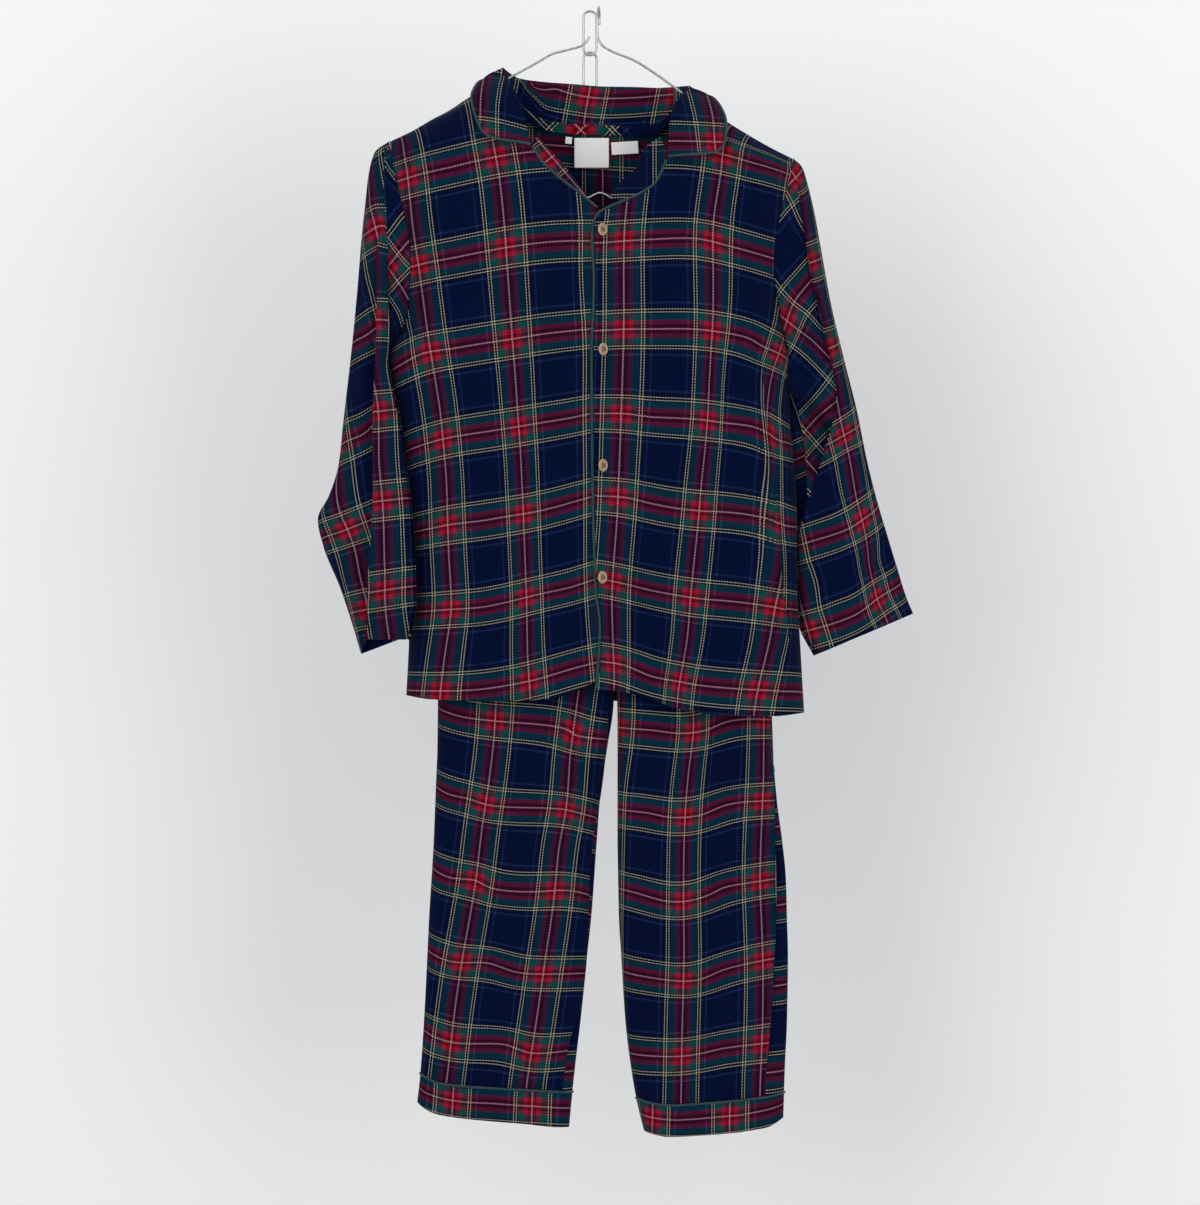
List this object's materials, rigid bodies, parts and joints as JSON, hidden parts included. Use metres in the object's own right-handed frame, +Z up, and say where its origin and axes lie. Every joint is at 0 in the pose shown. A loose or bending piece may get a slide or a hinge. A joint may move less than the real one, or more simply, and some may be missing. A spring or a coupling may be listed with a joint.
{
  "type": "pyjama set on a wire hanger",
  "caption": "Long-sleeved button-front pyjama jacket with a flat piped collar over straight cuffed pyjama trousers, in tartan flannel, hanging closed on a plain wire hanger with chain links.",
  "frame": {"origin": "top of the hanger's hook, where it is held", "axes": "+Z up, -Y the front with the buttons, X across the chest"},
  "size_m": [0.565, 0.0901, 1.0744],
  "materials": {
    "check_flannel": "brushed tartan flannel: navy, green and maroon with cream and white lines",
    "check_flannel_sleeves": "brushed tartan flannel, sleeves",
    "check_flannel_trousers": "brushed tartan flannel, trousers",
    "check_flannel_collar": "brushed tartan flannel, collar",
    "bias_cut_check": "the same tartan cut on the bias",
    "green_piping": "plain dark green cotton piping",
    "white_label": "blank woven label",
    "pale_wood_button": "pale wood, four holes",
    "bright_wire": "bright plated steel wire"
  },
  "bodies": {
    "root": {"back": "check_flannel", "button_1": "pale_wood_button", "button_2": "pale_wood_button", "button_3": "pale_wood_button", "button_4": "pale_wood_button", "chain_link_lower": "bright_wire", "chain_link_upper": "bright_wire", "clip_left": "bright_wire", "clip_right": "bright_wire", "collar": "check_flannel_collar", "cuff_left": "check_flannel_trousers", "cuff_right": "check_flannel_trousers", "facing_left": "bias_cut_check", "facing_right": "check_flannel", "front_left": "check_flannel", "front_right": "check_flannel", "hanger_wire": "bright_wire", "label_care": "white_label", "label_loop": "white_label", "label_main": "white_label", "leg_left": "check_flannel_trousers", "leg_right": "check_flannel_trousers", "neck_tape": "bias_cut_check", "piping_collar": "green_piping", "piping_cuff_left": "green_piping", "piping_cuff_right": "green_piping", "piping_front_left": "green_piping", "piping_front_right": "green_piping", "sleeve_left": "check_flannel_sleeves", "sleeve_right": "check_flannel_sleeves", "trouser_bar": "bright_wire", "trouser_hook": "bright_wire", "waistband": "check_flannel_trousers"}
  },
  "joints": []
}
